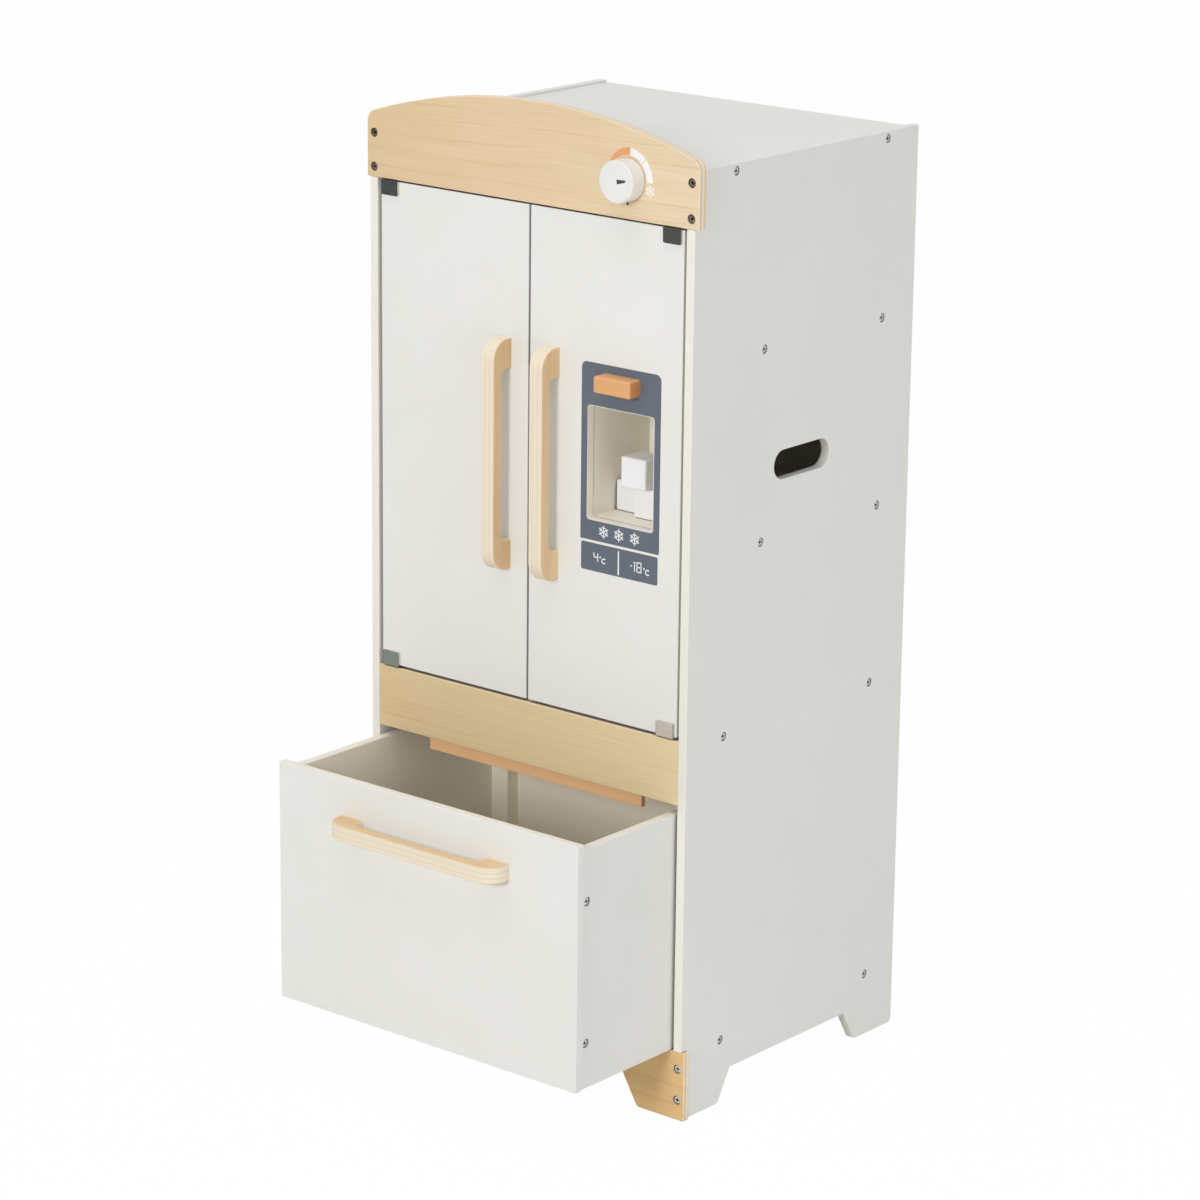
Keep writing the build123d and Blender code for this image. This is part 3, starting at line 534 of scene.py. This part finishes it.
def snow_crystal(x, z, radius):
    """The outline of a crystal: six arms, each with a pair of twigs."""
    arm = (
        (0.46, -0.075), (0.70, -0.36), (0.80, -0.26), (0.68, -0.075), (1.04, -0.075),
        (1.04, 0.075), (0.68, 0.075), (0.80, 0.26), (0.70, 0.36), (0.46, 0.075),
    )
    outline = []
    for step in range(6):
        turn = math.radians(90 - 60 * step)
        for along, across in (*arm, (0.13, 0.075)):
            outline.append((
                x + radius * (along * math.cos(turn) + across * math.sin(turn)),
                z + radius * (along * math.sin(turn) - across * math.cos(turn)),
            ))
    return [outline]


def flat_mark(name, outlines, plane_y, body, finish):
    """A thin printed shape with holes, lying on a plane that faces the front."""
    curve = bpy.data.curves.new(name, "CURVE")
    curve.dimensions = "2D"
    curve.fill_mode = "BOTH"
    curve.extrude = INK / 2 * MM
    for outline in outlines:
        spline = curve.splines.new("POLY")
        spline.points.add(len(outline) - 1)
        for point, (x, z) in zip(spline.points, outline):
            point.co = (x * MM, z * MM, 0, 1)
        spline.use_cyclic_u = True
    shape = bpy.data.objects.new(name, curve)
    bpy.context.scene.collection.objects.link(shape)
    mesh = bpy.data.meshes.new_from_object(shape)
    bpy.data.objects.remove(shape)
    bpy.data.curves.remove(curve)
    middle_y = (plane_y - INK / 2) * MM
    mesh.transform(Matrix(((1, 0, 0, 0), (0, 0, -1, middle_y), (0, 1, 0, 0), (0, 0, 0, 1))))
    return settle(name, mesh, body, finish)


def settle(name, mesh, body, finish):
    """Cleans a mesh and puts it on a body with its finish."""
    work = bmesh.new()
    work.from_mesh(mesh)
    bmesh.ops.remove_doubles(work, verts=work.verts, dist=1e-6)
    bmesh.ops.recalc_face_normals(work, faces=work.faces)
    work.to_mesh(mesh)
    work.free()
    mesh.name = name
    mesh.materials.clear()
    mesh.materials.append(finish)
    piece = bpy.data.objects.new(name, mesh)
    bpy.context.scene.collection.objects.link(piece)
    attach(piece, body)
    return piece


def segment_strokes(x, z, width, height, stroke, lit):
    """The strokes of a seven-segment figure whose lower left corner is at x, z."""
    gap, half, tall = 0.12 * stroke, stroke / 2, height / 2
    right, top, middle = x + width, z + height, z + tall
    bar = ((gap, 0), (width - gap, 0), (width - stroke - gap, stroke), (stroke + gap, stroke))
    post = (
        (0, gap), (half, half / 2 + gap), (stroke, half + gap), (stroke, tall - stroke - gap),
        (0, tall - gap),
    )
    belt = (
        (half + gap, 0), (stroke + gap, half), (width - stroke - gap, half), (width - half - gap, 0),
        (width - stroke - gap, -half), (stroke + gap, -half),
    )
    shapes = {
        "a": (bar, x, 1, top, -1),
        "b": (post, right, -1, middle, 1),
        "c": (post, right, -1, middle, -1),
        "d": (bar, x, 1, z, 1),
        "e": (post, x, 1, middle, -1),
        "f": (post, x, 1, middle, 1),
        "g": (belt, x, 1, middle, 1),
    }
    strokes = []
    for letter in lit:
        points, from_x, way_x, from_z, way_z = shapes[letter]
        strokes.append([(from_x + way_x * u, from_z + way_z * v) for u, v in points])
    return strokes


def pointer(x, z, angle):
    """A wedge that points from near the knob's middle to its rim."""
    turn = math.radians(angle)
    corners = ((1.4, -2.2), (11.6, -0.95), (11.6, 0.95), (1.4, 2.2))
    return [
        (
            x + along * math.cos(turn) - across * math.sin(turn),
            z + along * math.sin(turn) + across * math.cos(turn),
        )
        for along, across in corners
    ]


def print_marks():
    """The dispenser's printed panel, its two displays, and the dial round the knob."""
    slate = printed_ink("slate_ink", srgb(102, 110, 122), srgb(95, 103, 115))
    white = printed_ink("white_ink", srgb(246, 246, 246), srgb(240, 240, 240))
    orange = printed_ink("orange_ink", srgb(232, 168, 118), srgb(226, 160, 110))
    black = printed_ink("black_ink", srgb(66, 66, 66), srgb(54, 54, 54))
    on_slate = DOOR_FACE - INK

    flat_mark(
        "print_panel",
        [
            rounded_box(67.0, 162.6, 558.4, 730.2, (1.0, 1.5, 6.0, 6.0)),
            rounded_box(74.3, 155.3, 577.9, 689.2, (3.6, 3.6, 3.6, 3.6)),
            rounded_box(92.9, 138.1, 705.2, 722.4, (2.8, 2.8, 2.8, 2.8)),
        ],
        DOOR_FACE, "right_door", slate,
    )
    flat_mark(
        "print_display", [rounded_box(68.1, 161.2, 528.4, 555.9, (2.0, 2.0, 2.0, 2.0))],
        DOOR_FACE, "right_door", slate,
    )
    crystal_z, crystal_radius = 568.6, 6.1
    for number, x in enumerate((95.4, 114.0, 133.1), 1):
        crystal = snow_crystal(x, crystal_z, crystal_radius)
        flat_mark(f"print_crystal_{number}", crystal, on_slate, "right_door", white)
    left_figures = (
        segment_strokes(83.5, 537.6, 5.8, 9.6, 1.15, "fgbc")
        + [ring_part(96.2, 540.2, 1.7, 2.9, 45.0, 315.0, 2.9)]
        + [disc(91.7, 543.3, 0.95, 16)]
    )
    one = ((0.0, 0.0), (1.1, 0.0), (1.1, 9.7), (0.0, 9.7), (-1.2, 8.3), (0.0, 8.3))
    right_figures = (
        segment_strokes(127.5, 537.2, 4.2, 9.8, 1.1, "g")
        + [[(133.1 + x, 537.1 + z) for x, z in one]]
        + segment_strokes(136.0, 536.9, 6.0, 10.2, 1.1, "abcdefg")
        + [ring_part(149.3, 538.9, 1.75, 3.0, 45.0, 315.0, 3.0)]
        + [disc(145.0, 542.0, 0.95, 16)]
        + [rounded_box(113.1, 114.7, 530.0, 553.4, (0.5, 0.5, 0.5, 0.5))]
    )
    flat_mark("print_figures_left", left_figures, on_slate, "right_door", white)
    flat_mark("print_figures_right", right_figures, on_slate, "right_door", white)

    dial_x, dial_z, ring_inner, ring_outer = 120.3, 908.3, 22.4, 29.4
    for part, ink, start, end, last_outer in (
        ("warm", orange, 85.2, 158.0, 24.6),
        ("cool_high", white, 45.0, 84.2, ring_outer),
        ("cool_low", white, -1.2, 43.6, ring_outer),
    ):
        outline = ring_part(dial_x, dial_z, ring_inner, ring_outer, start, end, last_outer)
        flat_mark(f"dial_{part}", [outline], WOOD_FACE, "cabinet", ink)
    flat_mark(
        "dial_crystal", snow_crystal(146.8, 899.9, 5.5), WOOD_FACE, "cabinet", white
    )
    flat_mark("dial_dot", [disc(120.4, 885.4, 1.35)], WOOD_FACE, "cabinet", black)
    flat_mark("knob_pointer", [pointer(120.5, 908.0, 9.0)], KNOB_FACE, "knob", black)


def make_spring():
    """The button's spring once more, as a piece of its own on the right door, in place of the CAD node, which
    is hidden.
    """
    piece = bpy.data.objects.new("pressed_spring", nodes["button_spring"].data.copy())
    bpy.context.scene.collection.objects.link(piece)
    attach(piece, "right_door")
    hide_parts("button_spring")
    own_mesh(piece)


# Studio

def make_floor():
    """A wide white floor that keeps a faint shadow."""
    work = bmesh.new()
    bmesh.ops.create_grid(work, x_segments=8, y_segments=8, size=40.0)
    mesh = bpy.data.meshes.new("floor")
    work.to_mesh(mesh)
    work.free()
    floor = bpy.data.objects.new("floor", mesh)
    floor.location.z = -0.0002
    bpy.context.scene.collection.objects.link(floor)
    made = Finish("floor", Roughness=0.9, Specular_IOR_Level=0.0)
    made.shader.inputs["Base Color"].default_value = (0.86, 0.86, 0.85, 1)
    glow = made.node("Emission", Color=(1, 1, 1, 1), Strength=1.0)
    path = made.node("LightPath")
    seen = made.math("MAXIMUM", path.outputs["Is Camera Ray"], path.outputs["Is Glossy Ray"])
    seen = made.math("MAXIMUM", seen, path.outputs["Is Transmission Ray"])
    share = made.math("MULTIPLY", seen, 0.985)
    mixed = made.node("MixShader", Fac=share, i1=made.shader.outputs[0], i2=glow.outputs[0])
    output = made.tree.nodes["Material Output"]
    made.tree.links.new(mixed.outputs[0], output.inputs["Surface"])
    mesh.materials.append(made.material)


def make_world():
    """A white room: bright to the camera and in reflections, softer as light."""
    world = bpy.data.worlds.new("studio")
    world.use_nodes = True
    bpy.context.scene.world = world
    tree = world.node_tree
    back = tree.nodes["Background"]
    path = tree.nodes.new("ShaderNodeLightPath")
    first = tree.nodes.new("ShaderNodeMath")
    second = tree.nodes.new("ShaderNodeMath")
    strength = tree.nodes.new("ShaderNodeMapRange")
    first.operation = second.operation = "MAXIMUM"
    tree.links.new(path.outputs["Is Camera Ray"], first.inputs[0])
    tree.links.new(path.outputs["Is Glossy Ray"], first.inputs[1])
    tree.links.new(first.outputs[0], second.inputs[0])
    tree.links.new(path.outputs["Is Transmission Ray"], second.inputs[1])
    tree.links.new(second.outputs[0], strength.inputs["Value"])
    strength.inputs["To Min"].default_value = 0.45
    strength.inputs["To Max"].default_value = 1.0
    tree.links.new(strength.outputs[0], back.inputs["Strength"])
    back.inputs["Color"].default_value = (1, 1, 1, 1)


def soft_lamp(name, place, target, size, power):
    """A square soft light that shines at a point."""
    data = bpy.data.lights.new(name, "AREA")
    data.shape = "SQUARE"
    data.size = size
    data.energy = power
    lamp = bpy.data.objects.new(name, data)
    lamp.location = place
    lamp.rotation_mode = "QUATERNION"
    lamp.rotation_quaternion = (Vector(target) - Vector(place)).to_track_quat("-Z", "Y")
    bpy.context.scene.collection.objects.link(lamp)


aim_camera()
dress_nodes()
print_marks()
make_spring()
make_floor()
make_world()
soft_lamp("key", (0.7, -5.7, 2.35), (0.0, 0.0, 0.5), 1.3, 117.0)
soft_lamp("fill", (2.7, -0.25, 0.05), (0.0, 0.0, 0.35), 1.6, 24.0)
soft_lamp("top", (0.2, -0.9, 3.9), (0.0, -0.2, 0.4), 2.4, 36.0)
bpy.context.scene.view_settings.view_transform = "Standard"
